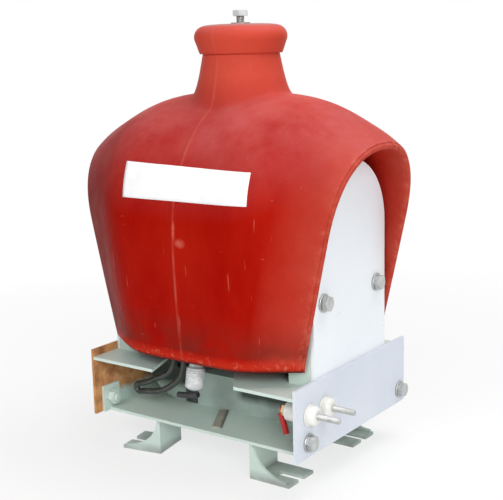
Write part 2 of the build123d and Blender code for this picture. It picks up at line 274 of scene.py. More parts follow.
half = studio["floorHalf"]
floorMesh = bpy.data.meshes.new("studioFloor")
floorMesh.from_pydata(
    [(-half, -half, 0), (half, -half, 0), (half, half, 0), (-half, half, 0)], [], [(0, 1, 2, 3)]
)
studioFloor = bpy.data.objects.new("studioFloor", floorMesh)
scene.collection.objects.link(studioFloor)
floorPaint, wires, matt, where = startMaterial("floorPaint")
matt.inputs["Base Color"].default_value = studio["floorColour"]
matt.inputs["Roughness"].default_value = studio["floorRoughness"]
matt.inputs["Specular IOR Level"].default_value = studio["floorSpecular"]
glow = wires.nodes.new("ShaderNodeEmission")
glow.inputs["Strength"].default_value = 1.0
whiteness = fade(wires, distanceFrom(wires, where), *studio["shadowReach"], studio["floorWhite"], 1.0)
whiteness = sums(wires, "MULTIPLY", seenPlainly(wires), whiteness)
mixInto(wires, whiteness, matt, glow, "Material Output")
floorMesh.materials.append(floorPaint)

for lampName in ("key", "fill", "top"):
    lampData = bpy.data.lights.new(lampName + "Lamp", "AREA")
    lampData.energy = studio[lampName + "Power"]
    lampData.size = studio[lampName + "Size"]
    lamp = bpy.data.objects.new(lampName + "Lamp", lampData)
    place = Vector(studio[lampName + "Place"])
    aim = Vector(studio["lampAim"]) - place
    lamp.matrix_world = Matrix.Translation(place) @ aim.to_track_quat("-Z", "Y").to_matrix().to_4x4()
    scene.collection.objects.link(lamp)
print("camera, floor and lamps set")


# Paint on sheet steel
sheetPatterns = {
    "patches": (14, 5, 0.55, 0.35, 0.68),
    "dirtAndShadeReach": 0.010,
    "dirtAndShadeBreaks": (60, 4, 0.55, 0.30, 0.60, 0.5, 1.0),
    "groundHeight": (0.0025, 0.0100),
    "groundBreaks": (45, 5, 0.55, 0.30, 0.60, 0.4, 1.0),
    "scuffStretch": (30, 30, 260),
    "scuffTurn": (0.4, 0.9, 0.2),
    "scuffs": (1.0, 3, 0.70, 0.66, 0.74, 0.0),
    "rustGrain": (130, 6, 0.7),
    "rustEdge": 0.06,
    "rustDepth": 0.0002,
    "roughGrain": (40, 3),
    "roughSpread": 0.16,
    "orangePeel": (900, 2),
    "orangePeelDepth": 0.00006,
    "dents": (22, 2),
    "dentsDepth": 0.0007,
}


def paintedSheet(name, look):
    # sprayed paint: cloudy colour, dirt and painted shade in the corners, scuffs, small rust spots
    skin = sheetPatterns
    material, tree, shader, where = startMaterial(name)
    colour = blendColour(tree, mottle(tree, where, skin["patches"]), look["colour"], look["second"])
    # dirt and painted shade in the corners, from how close faces are
    dirtAndShade = broken(tree, where, crevice(tree, skin["dirtAndShadeReach"], look["dirtAndShade"]), skin["dirtAndShadeBreaks"])
    ground = fade(tree, axisOf(tree, where, 2), *skin["groundHeight"], look["groundDirt"], 0.0)
    ground = broken(tree, where, ground, skin["groundBreaks"])
    rubs = stretched(tree, where, skin["scuffStretch"], skin["scuffTurn"])
    scuffs = mottle(tree, rubs, (*skin["scuffs"], look["scuff"]))
    rust = cloud(tree, where, *skin["rustGrain"])
    spots = fade(tree, rust, look["rustFrom"], look["rustFrom"] + skin["rustEdge"])
    layers = (
        (dirtAndShade, "dirtAndShadeColour"), (ground, "groundColour"), (scuffs, "scuffColour"), (spots, "rustColour"),
    )
    for share, shade in layers:
        colour = blendColour(tree, share, colour, look[shade])
    roughness = unevenRoughness(tree, where, skin["roughGrain"], look["roughness"], skin["roughSpread"])
    bumps = grained(tree, where, skin, "dents", grained(tree, where, skin, "orangePeel"))
    bumps = relief(tree, spots, skin["rustDepth"], bumps)
    setSockets(tree, shader, colour, roughness, bumps)
    return material


greenPaint = paintedSheet("greenPaint", {
    "colour": (0.590, 0.730, 0.670),
    "second": (0.610, 0.710, 0.650),
    "dirtAndShade": 0.18,
    "dirtAndShadeColour": (0.150, 0.170, 0.145),
    "groundDirt": 0.75,  # on what lies close to the floor
    "groundColour": (0.260, 0.262, 0.250),
    "scuff": 0.45,
    "scuffColour": (0.620, 0.700, 0.660),
    "rustFrom": 0.715,
    "rustColour": (0.200, 0.105, 0.050),
    "roughness": 0.38,
})
whiteLook = {
    "colour": (0.810, 0.860, 0.900),
    "second": (0.850, 0.890, 0.920),
    "dirtAndShade": 0.30,
    "dirtAndShadeColour": (0.330, 0.340, 0.380),
    "groundDirt": 0.0,
    "groundColour": (0.330, 0.340, 0.380),
    "scuff": 0.30,
    "scuffColour": (0.560, 0.580, 0.640),
    "rustFrom": 0.745,
    "rustColour": (0.300, 0.230, 0.190),
    "roughness": 0.36,
}
whitePaint = paintedSheet("whitePaint", whiteLook)
greyWhitePaint = paintedSheet("greyWhitePaint", {
    **whiteLook,
    "colour": (0.620, 0.670, 0.750),
    "second": (0.680, 0.720, 0.790),
    "dirtAndShadeColour": (0.300, 0.320, 0.360),
    "scuffColour": (0.500, 0.530, 0.590),
})


def makeRustyPlate():
    look = {
        "primer": (0.620, 0.290, 0.110),
        "darkRust": (0.320, 0.125, 0.042),
        "rustPatches": (55, 6, 0.65, 0.44, 0.66),
        "bare": (0.640, 0.360, 0.170),
        "barePatches": (70, 5, 0.55, 0.56, 0.68),
        "bareTurn": (0.5, 0.2, 0.9),
        "green": (0.500, 0.620, 0.570),
        "sprayTop": (0.052, 0.060),  # the overspray fades out between these heights
        "sprayFront": (-0.084, -0.070),
        "sprayRagged": (38, 5, 0.55, 0.0, 1.0, -0.018, 0.018),
        "pits": (210, 6, 0.7),
        "pitsDepth": 0.0004,
        "roughness": 0.72,
    }
    material, tree, shader, where = startMaterial("rustyPrimer")
    rust = blendColour(tree, mottle(tree, where, look["rustPatches"]), look["primer"], look["darkRust"])
    turned = stretched(tree, where, (1, 1, 1), look["bareTurn"])
    rust = blendColour(tree, mottle(tree, turned, look["barePatches"]), rust, look["bare"])
    # green overspray comes in from below and from the tab's side, with a ragged edge
    ragged = mottle(tree, where, look["sprayRagged"])
    height = sums(tree, "ADD", axisOf(tree, where, 2), ragged)
    inward = sums(tree, "ADD", axisOf(tree, where, 1), ragged)
    sprayed = sums(
        tree, "MULTIPLY",
        fade(tree, height, *look["sprayTop"], 1.0, 0.0),
        fade(tree, inward, *look["sprayFront"]),
    )
    colour = blendColour(tree, sprayed, rust, look["green"])
    setSockets(tree, shader, colour, look["roughness"], grained(tree, where, look, "pits"))
    return material


rustyPrimer = makeRustyPlate()

# Bare and plated metal
metalPatterns = {
    "tarnishDetail": 5,
    "tarnishFade": (0.35, 0.7),
    "grimeAndShadeReach": 0.004,
    "roughGrain": (300, 3),
    "roughSpread": 0.2,
    "grain": (800, 3),
    "grainDepth": 0.00005,
}


def bareMetal(name, look):
    skin = metalPatterns
    material, tree, shader, where = startMaterial(name)
    tarnish = cloud(tree, where, look["patch"], skin["tarnishDetail"])
    tarnish = fade(tree, tarnish, *skin["tarnishFade"])
    colour = blendColour(tree, tarnish, look["colour"], look["second"])
    # grime and painted shade in the crevices
    grime = crevice(tree, skin["grimeAndShadeReach"], look["grime"])
    colour = blendColour(tree, grime, colour, look["grimeAndShadeColour"])
    roughness = unevenRoughness(tree, where, skin["roughGrain"], look["roughness"], skin["roughSpread"])
    setSockets(tree, shader, colour, roughness, grained(tree, where, skin, "grain"))
    shader.inputs["Metallic"].default_value = 1.0
    return material


zincPlate = bareMetal("zincPlate", {
    "colour": (0.62, 0.63, 0.62), "second": (0.44, 0.45, 0.44), "patch": 160,
    "grime": 0.6, "grimeAndShadeColour": (0.12, 0.11, 0.10), "roughness": 0.28,
})
dullBrass = bareMetal("dullBrass", {
    "colour": (0.82, 0.67, 0.40), "second": (0.60, 0.46, 0.25), "patch": 140,
    "grime": 0.6, "grimeAndShadeColour": (0.14, 0.10, 0.06), "roughness": 0.30,
})
greyTin = bareMetal("greyTin", {
    "colour": (0.42, 0.38, 0.36), "second": (0.30, 0.26, 0.25), "patch": 120,
    "grime": 0.7, "grimeAndShadeColour": (0.14, 0.08, 0.07), "roughness": 0.42,
})
bluedSteel = bareMetal("bluedSteel", {
    "colour": (0.17, 0.17, 0.19), "second": (0.10, 0.10, 0.12), "patch": 90,
    "grime": 0.4, "grimeAndShadeColour": (0.04, 0.04, 0.04), "roughness": 0.22,
})


# Core, nylon, vinyl, rubber and pressboard
def makeCorePaint():
    # varnished strip steel: fine edges of the laminations under a grey-green coat
    look = {
        "colour": (0.480, 0.590, 0.540),
        "second": (0.350, 0.430, 0.395),
        "patches": (35, 5, 0.55, 0.35, 0.7),
        "lineScale": 325.0,
        "lineWobble": 0.6,
        "lineFade": (0.0, 0.35, 0.35, 0.0),
        "lineDepth": 0.00012,
        "grime": (0.035, 0.050, 0.042),  # painted shadow of the top plates on the core's front
        "grimeFrom": (0.050, 0.058, 0.0, 0.97),
        "shadowRagged": (40, 4, 0.55, 0.0, 1.0, -0.003, 0.003),
        "shadowRight": (0.002, 0.012),  # the painted shadow: one plate covers the right part, the other the left part
        "shadowLeft": (-0.042, -0.056),
        "roughness": 0.45,
    }
    material, tree, shader, where = startMaterial("corePaint")
    node = tree.nodes.new("ShaderNodeTexWave")
    node.bands_direction = "Z"
    node.inputs["Scale"].default_value = look["lineScale"]
    node.inputs["Distortion"].default_value = look["lineWobble"]
    tree.links.new(where, node.inputs["Vector"])
    lines = node.outputs["Fac"]
    colour = twoShades(tree, where, look)
    colour = blendColour(tree, fade(tree, lines, *look["lineFade"]), colour, look["second"])
    # painted shadow of the top plates on the core: darker above a ragged height where a plate is overhead
    height = sums(tree, "ADD", axisOf(tree, where, 2), mottle(tree, where, look["shadowRagged"]))
    sideways = axisOf(tree, where, 0)
    covered = sums(
        tree, "MAXIMUM", fade(tree, sideways, *look["shadowRight"]), fade(tree, sideways, *look["shadowLeft"])
    )
    grime = sums(tree, "MULTIPLY", fade(tree, height, *look["grimeFrom"]), covered)
    colour = blendColour(tree, grime, colour, look["grime"])
    setSockets(tree, shader, colour, look["roughness"], relief(tree, lines, look["lineDepth"]))
    return material


corePaint = makeCorePaint()


def makeNylon():
    look = {
        "colour": (0.800, 0.800, 0.770),
        "second": (0.700, 0.690, 0.650),
        "patches": (120, 4, 0.55, 0.4, 0.7),
        "grime": (0.300, 0.290, 0.260),
        "grimeAndShadeShare": 0.5,
        "grimeAndShadeReach": 0.005,
        "roughness": 0.32,
        "grain": (350, 3),
        "grainDepth": 0.00008,
        "glowThrough": 0.08,
        "glowReach": (0.003, 0.003, 0.002),
    }
    material, tree, shader, where = startMaterial("whiteNylon")
    colour = twoShades(tree, where, look)
    # grime and painted shade in the crevices
    grime = crevice(tree, look["grimeAndShadeReach"], look["grimeAndShadeShare"])
    colour = blendColour(tree, grime, colour, look["grime"])
    setSockets(tree, shader, colour, look["roughness"], grained(tree, where, look, "grain"))
    shader.inputs["Subsurface Weight"].default_value = look["glowThrough"]
    shader.inputs["Subsurface Radius"].default_value = look["glowReach"]
    return material


whiteNylon = makeNylon()


def plainSkin(name, look):
    # two shades in patches and a fine grain
    material, tree, shader, where = startMaterial(name)
    colour = twoShades(tree, where, look)
    setSockets(tree, shader, colour, look["roughness"], grained(tree, where, look, "grain"))
    return material


labelVinyl = plainSkin("labelVinyl", {
    "colour": (0.880, 0.880, 0.890), "second": (0.760, 0.750, 0.755), "roughness": 0.34,
    "patches": (50, 6, 0.6, 0.52, 0.8), "grain": (90, 3), "grainDepth": 0.0003,
})
rubberGrain = {"patches": (150, 5, 0.55, 0.35, 0.7), "grain": (500, 4), "grainDepth": 0.0001}
redBoot = plainSkin("redBoot", {
    "colour": (0.50, 0.012, 0.010), "second": (0.33, 0.008, 0.008), "roughness": 0.35, **rubberGrain,
})
blackRubber = plainSkin("blackRubber", {
    "colour": (0.012, 0.012, 0.014), "second": (0.030, 0.030, 0.030), "roughness": 0.45, **rubberGrain,
})
darkSleeve = plainSkin("darkSleeve", {
    "colour": (0.030, 0.034, 0.032), "second": (0.060, 0.066, 0.062), "roughness": 0.18, **rubberGrain,
})
paleSleeve = plainSkin("paleSleeve", {
    "colour": (0.74, 0.76, 0.76), "second": (0.50, 0.53, 0.53), "roughness": 0.30, **rubberGrain,
})


def makePacking():
    # a strip of brown pressboard, with a painted shadow along one edge
    look = {
        "colour": (0.400, 0.375, 0.310),
        "second": (0.300, 0.275, 0.220),
        "fibreStretch": (260, 260, 60),
        "patches": (1.0, 4, 0.55, 0.35, 0.7),
        "edgeShadow": (0.110, 0.105, 0.085),
        "edgeShadowShare": 0.9,
        "edgeShadowFrom": 0.3,  # shares of the half width, from the middle to the edge
        "edgeShadowFull": 0.9,
        "middle": (0.002, -0.052),
        "turn": 61.0,  # degrees, as the strip lies
        "halfWidth": 0.0045,
        "grain": (2.0, 3),
        "grainDepth": 0.0001,
        "roughness": 0.8,
    }
    material, tree, shader, where = startMaterial("brownPacking")
    turn = radians(look["turn"])
    fibres = stretched(tree, where, look["fibreStretch"], (0, 0, turn))
    colour = twoShades(tree, fibres, look)
    across = sums(
        tree, "ADD",
        sums(tree, "MULTIPLY", axisOf(tree, where, 0), sin(turn)),
        sums(tree, "MULTIPLY", axisOf(tree, where, 1), cos(turn)),
    )
    middle = look["middle"][0] * sin(turn) + look["middle"][1] * cos(turn)
    start, full = (middle + look["halfWidth"] * look[key] for key in ("edgeShadowFrom", "edgeShadowFull"))
    shadowedEdge = fade(tree, across, start, full, 0.0, look["edgeShadowShare"])
    colour = blendColour(tree, shadowedEdge, colour, look["edgeShadow"])
    setSockets(tree, shader, colour, look["roughness"], grained(tree, fibres, look, "grain"))
    return material


brownPacking = makePacking()
print("paints, metals and rubbers made")

nodeFinish = {
    "hv_insert": greyTin, "core_ring": corePaint, "core_strap": bluedSteel,
    "end_plate_left": rustyPrimer, "end_plate_right": greyWhitePaint,
    "arch_plate_left": whitePaint, "arch_plate_right": whitePaint,
    "lv_lug": redBoot, "gland_tail": blackRubber, "lead_loop": darkSleeve, "floor_strip": brownPacking,
}
for name, piece in nodes.items():
    finish = nodeFinish.get(name)
    if finish is None:
        finish = greenPaint
        if "bolt" in name or "stud" in name:
            finish = zincPlate
        elif "nut" in name:
            finish = dullBrass
    piece.data.materials.clear()
    piece.data.materials.append(finish)


# Mesh helpers
def joinRings(mesh, lower, upper, closed=True):
    # a band of faces between two rows with as many points
    count = len(lower)
    for i in range(count if closed else count - 1):
        n = (i + 1) % count
        mesh.faces.new((lower[i], lower[n], upper[n], upper[i]))


def addRing(mesh, place, segments, shape):
    # shape gives the radius and the height at an angle
    ring = []
    for i in range(segments):
        angle = 2 * pi * i / segments
        radius, height = shape(angle)
        corner = Vector((radius * cos(angle), radius * sin(angle), height))
        ring.append(mesh.verts.new(place @ corner))
    return ring


def finishMesh(mesh, name, material, standsFor=(), sharpAngle=38):
    # smooth, but creased where faces meet at more than sharpAngle degrees
    bmesh.ops.recalc_face_normals(mesh, faces=mesh.faces)
    mesh.normal_update()
    for face in mesh.faces:
        face.smooth = True
    if sharpAngle is not None:
        sharp = radians(sharpAngle)
        for line in mesh.edges:
            line.smooth = len(line.link_faces) != 2 or line.calc_face_angle(0) < sharp
    data = bpy.data.meshes.new(name)
    mesh.to_mesh(data)
    mesh.free()
    data.materials.append(material)
    piece = bpy.data.objects.new(name, data)
    scene.collection.objects.link(piece)
    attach(piece, "root")
    if standsFor:
        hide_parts(*standsFor)
    return piece


def smoothCurve(stations, values):
    # natural cubic through the stations, returned as a function
    stations, values = np.array(stations, float), np.array(values, float)
    gap = np.diff(stations)
    count = len(stations)
    rows, right = np.zeros((count, count)), np.zeros(count)
    rows[0, 0] = rows[-1, -1] = 1.0
    for i in range(1, count - 1):
        rows[i, i - 1], rows[i, i], rows[i, i + 1] = gap[i - 1], 2 * (gap[i - 1] + gap[i]), gap[i]
        right[i] = 3 * ((values[i + 1] - values[i]) / gap[i] - (values[i] - values[i - 1]) / gap[i - 1])
    bend = np.linalg.solve(rows, right)

    def at(place):
        i = int(np.clip(np.searchsorted(stations, place) - 1, 0, count - 2))
        step = place - stations[i]
        slope = (values[i + 1] - values[i]) / gap[i] - gap[i] * (2 * bend[i] + bend[i + 1]) / 3
        curl = (bend[i + 1] - bend[i]) / (3 * gap[i])
        return values[i] + slope * step + bend[i] * step**2 + curl * step**3

    return at


# Resin body
bodyLook = {
    "lowerEdge": 0.108,  # height of the lower edge over the floor
    "wideHeight": 0.118,  # this height and the crown are over the lower edge
    "crown": (0.240, 0.2385, 0.2310, 0.2175, 0.2060, 0.1965),
    "lowerHalf": 0.109,  # half lengths at the lower edge and at the hoods' height
    "upperHalf": 0.154,
    "hoodHeight": 0.200,
    "shares": (0.0, 0.35, 0.55, 0.75, 0.90, 1.0),  # of the half length, for the half widths and the crown
    "footHalf": (0.103, 0.103, 0.1000, 0.0890, 0.0785, 0.0715),
    "wideHalf": (0.1105, 0.1105, 0.1065, 0.0930, 0.0810, 0.0730),
    "square": 0.35,  # how much fuller the shoulders are at the ends
    "edgeRound": 0.006,
    "wall": 0.0055,
    "rimRound": 0.0026,
    "pocketEnd": 0.070,
    "padInner": 0.036,
    "padWidth": 0.018,
    "padHalfLength": 0.062,
    "padHeight": 0.013,
    "padSunk": 0.0005,
    "padRound": 0.001,
    "seam": 0.00035,
    "seamShare": 0.008,
    "stations": 30,  # sections in each half, closer together towards the end
    "lastShare": 0.985,
    "stationGap": 0.012,
    "edgeSteps": 5,
    "flankSteps": 26,
    "shoulderSteps": 44,
    "neckFoot": (0.053, 0.302),  # radius and height
    "waist": (0.0362, 0.384),
    "neckFillet": 0.026,
    "neckReach": 0.40,
    "neckHalf": 0.064,
    "neckFrom": 0.28,
    "neckRings": 26,
    "neckCrowding": 1.9,
    "headProfile": (
        (0.0365, 0.3841), (0.0382, 0.3842), (0.0389, 0.3846), (0.0393, 0.3854), (0.0410, 0.3902),
        (0.0427, 0.3951), (0.0431, 0.3961), (0.0434, 0.3967), (0.0437, 0.3984), (0.04375, 0.4002),
        (0.0434, 0.4026), (0.0423, 0.4050), (0.0404, 0.4073), (0.0376, 0.4092), (0.0340, 0.4103),
        (0.0290, 0.4109), (0.0220, 0.4113), (0.0140, 0.4115), (0.0092, 0.4115), (0.0042, 0.4115),
        (0.0041, 0.3990),
    ),
}
endSlope = (bodyLook["upperHalf"] - bodyLook["lowerHalf"]) / bodyLook["hoodHeight"]
pocketShare = bodyLook["pocketEnd"] / bodyLook["lowerHalf"]
tiny = 1e-6

resinLook = {
    "colour": (0.315, 0.0030, 0.0006),
    "second": (0.390, 0.0100, 0.0030),
    "streaks": (1, 1, 0.45),
    "patches": (17, 7, 0.62, 0.38, 0.72),
    "leftFlankShade": (0.120, 0.003, 0.001),  # painted shade on the left flank
    "leftShadeFrom": (-0.055, -0.105, 0.0, 0.65),
    "paleEnd": (0.520, 0.085, 0.055),  # paler towards the right hood's rim
    "paleReach": 0.045,
    "paleBreaks": (26, 5, 0.55, 0.3, 0.7, 0.35, 0.75),
    "neckHighlight": (0.620, 0.085, 0.050),  # painted highlight: lighter red from the shoulders up
    "neckFrom": (0.325, 0.365, 0.0, 0.75),
    "filmAndSheen": (0.500, 0.110, 0.105),  # dusty film on what faces up, and painted sheen there
    "filmAndSheenFacing": (0.10, 0.90),
    "bloomBreaks": (22, 6, 0.65, 0.30, 0.72, 0.25, 0.85),
    "bloomRoughness": 0.14,
    "dust": (0.330, 0.235, 0.215),  # on the flat top of the head
    "dustFrom": (0.4085, 0.4110, 0.0, 0.8),
    "scratch": (0.560, 0.110, 0.075),
    "longStretch": (320, 320, 20),
    "longTurn": (0.10, 0.15, 0.3),
    "longScratches": (1.0, 2, 0.5, 0.715, 0.75, 0.0, 0.45),
    "shortStretch": (40, 330, 330),
    "shortTurn": (0.2, 0.55, 0.8),
    "shortScratches": (1.0, 2, 0.5, 0.735, 0.765, 0.0, 0.40),
    "partingLine": (0.0003, 0.0019, 0.55, 0.0),
    "partingBreaks": (48, 5, 0.55, 0.36, 0.60, 0.15, 1.0),
    "drips": (
        ((0.001, -0.110, 0.232), (0.0022, 0.02, 0.012)),
        ((0.008, -0.110, 0.222), (0.007, 0.02, 0.005)),
    ),
    "dripBreaks": (160, 4, 0.55, 0.3, 0.6, 0.4, 0.9),
    "grime": (0.130, 0.022, 0.014),  # a dull band, at heights over the lower edge
    "grimeFrom": (0.011, 0.016),
    "grimeUpTo": (0.020, 0.050, 0.6, 0.0),
    "grimeBreaks": (24, 4, 0.55, 0.35, 0.60),
    "lip": (0.560, 0.030, 0.012),  # bright, under the band
    "lipUpTo": (0.006, 0.014, 1.0, 0.0),
    "lipShare": 0.7,
    "chip": (0.680, 0.200, 0.130),
    "chipShare": 0.60,
    "lipChips": (210, 5, 0.7, 0.54, 0.66),
    "rimReach": (0.0065, 0.0025),  # in from the end face
    "rimRubs": (120, 5, 0.7, 0.46, 0.66, 0.0, 0.55),
    "under": (0.030, 0.008, 0.006),  # painted shade on the lower edge's underside
    "shadeUnderFacing": (-0.80, -0.35, 0.9, 0.0),
    "roughness": 0.33,
    "roughGrain": (34, 5),
    "roughSpread": 0.14,
    "specular": 0.02,
    "waves": (30, 3),
    "wavesDepth": 0.0009,
    "grain": (260, 4),
    "grainDepth": 0.00012,
    "markDepth": 0.00020,
}


def resinMarks(tree, where, offLine):
    # scratches, and the mould's parting line with runs of pale release agent on it
    look = resinLook
    marks = None
    for kind in ("long", "short"):
        runs = stretched(tree, where, look[kind + "Stretch"], look[kind + "Turn"])
        scratches = mottle(tree, runs, look[kind + "Scratches"])
        marks = scratches if marks is None else sums(tree, "MAXIMUM", marks, scratches)
    parting = broken(tree, where, fade(tree, offLine, *look["partingLine"]), look["partingBreaks"])
    marks = sums(tree, "MAXIMUM", marks, parting)
    for centre, size in look["drips"]:
        drip = broken(tree, where, spotAt(tree, where, centre, size), look["dripBreaks"])
        marks = sums(tree, "MAXIMUM", marks, drip)
    return marks


def resinWear(tree, where, overEdge, fromEnd):
    # a dull band over the lower edge, the lip under it, and what is chipped or rubbed pale
    look = resinLook
    band = sums(
        tree, "MULTIPLY", fade(tree, overEdge, *look["grimeFrom"]), fade(tree, overEdge, *look["grimeUpTo"])
    )
    band = broken(tree, where, band, look["grimeBreaks"])
    low = fade(tree, overEdge, *look["lipUpTo"])
    chips = broken(tree, where, low, look["lipChips"])
    rim = fade(tree, fromEnd, *(-reach for reach in look["rimReach"]))
    return band, low, sums(tree, "MAXIMUM", chips, broken(tree, where, rim, look["rimRubs"]))


def makeResin():
    look = resinLook
    material, tree, shader, where = startMaterial("redResin")
    colour = twoShades(tree, stretched(tree, where, look["streaks"]), look)
    height = axisOf(tree, where, 2)
    overEdge = sums(tree, "SUBTRACT", height, bodyLook["lowerEdge"])
    sideways = axisOf(tree, where, 0)
    offLine = sums(tree, "ABSOLUTE", sideways, 0.0)
    endAt = sums(tree, "MULTIPLY", overEdge, endSlope)
    endAt = sums(tree, "ADD", endAt, bodyLook["lowerHalf"])
    facing = axisOf(tree, tree.nodes.new("ShaderNodeNewGeometry").outputs["Normal"], 2)
    paleTowardsRim = fade(tree, sums(tree, "SUBTRACT", sideways, endAt), -look["paleReach"], 0.0)
    paleTowardsRim = broken(tree, where, paleTowardsRim, look["paleBreaks"])
    filmAndSheenShare = broken(tree, where, fade(tree, facing, *look["filmAndSheenFacing"]), look["bloomBreaks"])
    marks = resinMarks(tree, where, offLine)
    band, low, worn = resinWear(tree, where, overEdge, sums(tree, "SUBTRACT", offLine, endAt))
    # the left flank's shade, the neck's highlight, part of the film's sheen and the underside's shade are
    # painted
    layers = (
        (fade(tree, sideways, *look["leftShadeFrom"]), "leftFlankShade"),
        (paleTowardsRim, "paleEnd"),
        (fade(tree, height, *look["neckFrom"]), "neckHighlight"),
        (filmAndSheenShare, "filmAndSheen"),
        (fade(tree, height, *look["dustFrom"]), "dust"),
        (marks, "scratch"),
        (band, "grime"),
        (sums(tree, "MULTIPLY", low, look["lipShare"]), "lip"),
        (sums(tree, "MULTIPLY", worn, look["chipShare"]), "chip"),
        (sums(tree, "MULTIPLY", low, fade(tree, facing, *look["shadeUnderFacing"])), "under"),
    )
    for share, shade in layers:
        colour = blendColour(tree, share, colour, look[shade])
    roughness = unevenRoughness(tree, where, look["roughGrain"], look["roughness"], look["roughSpread"])
    roughness = sums(tree, "ADD", roughness, sums(tree, "MULTIPLY", filmAndSheenShare, look["bloomRoughness"]))
    bumps = grained(tree, where, look, "grain", grained(tree, where, look, "waves"))
    bumps = relief(tree, sums(tree, "ADD", worn, marks), look["markDepth"], bumps)
    setSockets(tree, shader, colour, roughness, bumps)
    shader.inputs["Specular IOR Level"].default_value = look["specular"]
    return material


redResin = makeResin()
print("resin mixed")

mirroredShares = [-share for share in bodyLook["shares"][:0:-1]] + list(bodyLook["shares"])
footAt, wideAt, crownAt = (
    smoothCurve(mirroredShares, list(bodyLook[key][:0:-1]) + list(bodyLook[key]))
    for key in ("footHalf", "wideHalf", "crown")
)


def bodyX(share, up):
    return share * (bodyLook["lowerHalf"] + endSlope * up)


def shoulderPower(share):
    return 2 + bodyLook["square"] * share**2


def flankRadius(share):
    # of the arc from the lower edge up to the widest level
    bulge = wideAt(share) - footAt(share)
    return (bulge**2 + bodyLook["wideHeight"] ** 2) / (2 * bulge)


def halfWidth(share, up):
    wide, wideUp = wideAt(share), bodyLook["wideHeight"]
    if up < wideUp:
        radius = flankRadius(share)
        return wide - (radius - sqrt(radius**2 - (wideUp - up) ** 2))
    power = shoulderPower(share)
    rise = (up - wideUp) / (crownAt(share) - wideUp)
    return wide * max(0.0, 1 - rise**power) ** (1 / power)


def bodyOutline(share):
    # (y, height over the lower edge, y and height parts of the outward normal), front foot to rear foot
    edge, wideUp = bodyLook["edgeRound"], bodyLook["wideHeight"]
    wide, foot = wideAt(share), footAt(share)
    points = []
    for i in range(bodyLook["edgeSteps"]):
        turn = radians(90 * i / bodyLook["edgeSteps"])
        points.append((
            foot - edge + edge * sin(turn), edge - edge * cos(turn),
            sin(turn), -cos(turn),
        ))
    for i in range(bodyLook["flankSteps"]):
        up = edge + (wideUp - edge) * i / bodyLook["flankSteps"]
        tilt = (wideUp - up) / flankRadius(share)
        points.append((halfWidth(share, up), up, sqrt(1 - tilt**2), -tilt))
    rise = crownAt(share) - wideUp
    power = shoulderPower(share)
    for i in range(bodyLook["shoulderSteps"] + 1):
        turn = radians(90 * i / bodyLook["shoulderSteps"])
        across, upward = abs(cos(turn)) ** (2 / power), sin(turn) ** (2 / power)
        normal = Vector((across ** (power - 1) / wide, upward ** (power - 1) / rise)).normalized()
        points.append((wide * across, wideUp + rise * upward, *normal))
    front = [(-y, up, -ny, nz) for y, up, ny, nz in points]
    return front + points[-2::-1]


def bodyStations():
    # shares of the half length, with one at each pocket's floor and two beside the seam
    count = bodyLook["stations"]
    right = [sin(radians(90 * i / count)) * bodyLook["lastShare"] for i in range(1, count + 1)]
    right = [share for share in right if abs(share - pocketShare) > bodyLook["stationGap"]]
    right = sorted(right + [pocketShare, bodyLook["seamShare"]])
    return [-share for share in reversed(right)] + [0.0] + right


def addSkin(mesh, shares):
    base = bodyLook["lowerEdge"]
    grid = []
    for share in shares:
        lift = bodyLook["seam"] if share == 0.0 else 0.0
        grid.append([
            mesh.verts.new((bodyX(share, up), y + ny * lift, base + up + nz * lift))
            for y, up, ny, nz in bodyOutline(share)
        ])
    return grid


def closeSkin(mesh, grid, shares):
    # faces between the sections, but for the cells where the neck stands: returns the loop round them
    columns = len(grid[0])
    reach = bodyLook["neckReach"]
    first = min(j for j, share in enumerate(shares) if share > -reach)
    last = max(j for j, share in enumerate(shares) if share < reach)
    left = min(
        k for k, corner in enumerate(grid[first])
        if abs(corner.co.y) < bodyLook["neckHalf"] and corner.co.z > bodyLook["neckFrom"]
    )
    right = columns - 1 - left
    for j in range(len(grid) - 1):
        for k in range(columns - 1):
            if first <= j < last and left <= k < right:
                continue
            mesh.faces.new((grid[j][k], grid[j + 1][k], grid[j + 1][k + 1], grid[j][k + 1]))
    for j in range(first + 1, last):
        for k in range(left + 1, right):
            mesh.verts.remove(grid[j][k])
    loop = [grid[j][left] for j in range(first, last)]
    loop += [grid[last][k] for k in range(left, right)]
    loop += [grid[j][right] for j in range(last, first, -1)]
    loop += [grid[first][k] for k in range(right, left, -1)]
    return loop


def crownHeight(x, y):
    # height of the skin over a place: a few rounds settle it, because the ends lean
    wideUp = bodyLook["wideHeight"]
    up = bodyLook["crown"][0]
    for _ in range(12):
        share = x / bodyX(1.0, up)
        power = shoulderPower(share)
        rise = max(0.0, 1 - abs(y / wideAt(share)) ** power) ** (1 / power)
        up = wideUp + (crownAt(share) - wideUp) * rise
    return bodyLook["lowerEdge"] + up


def neckHeight(radius):
    (footRadius, footLevel), (waistRadius, waistLevel) = bodyLook["neckFoot"], bodyLook["waist"]
    return waistLevel - (radius - waistRadius) * (waistLevel - footLevel) / (footRadius - waistRadius)


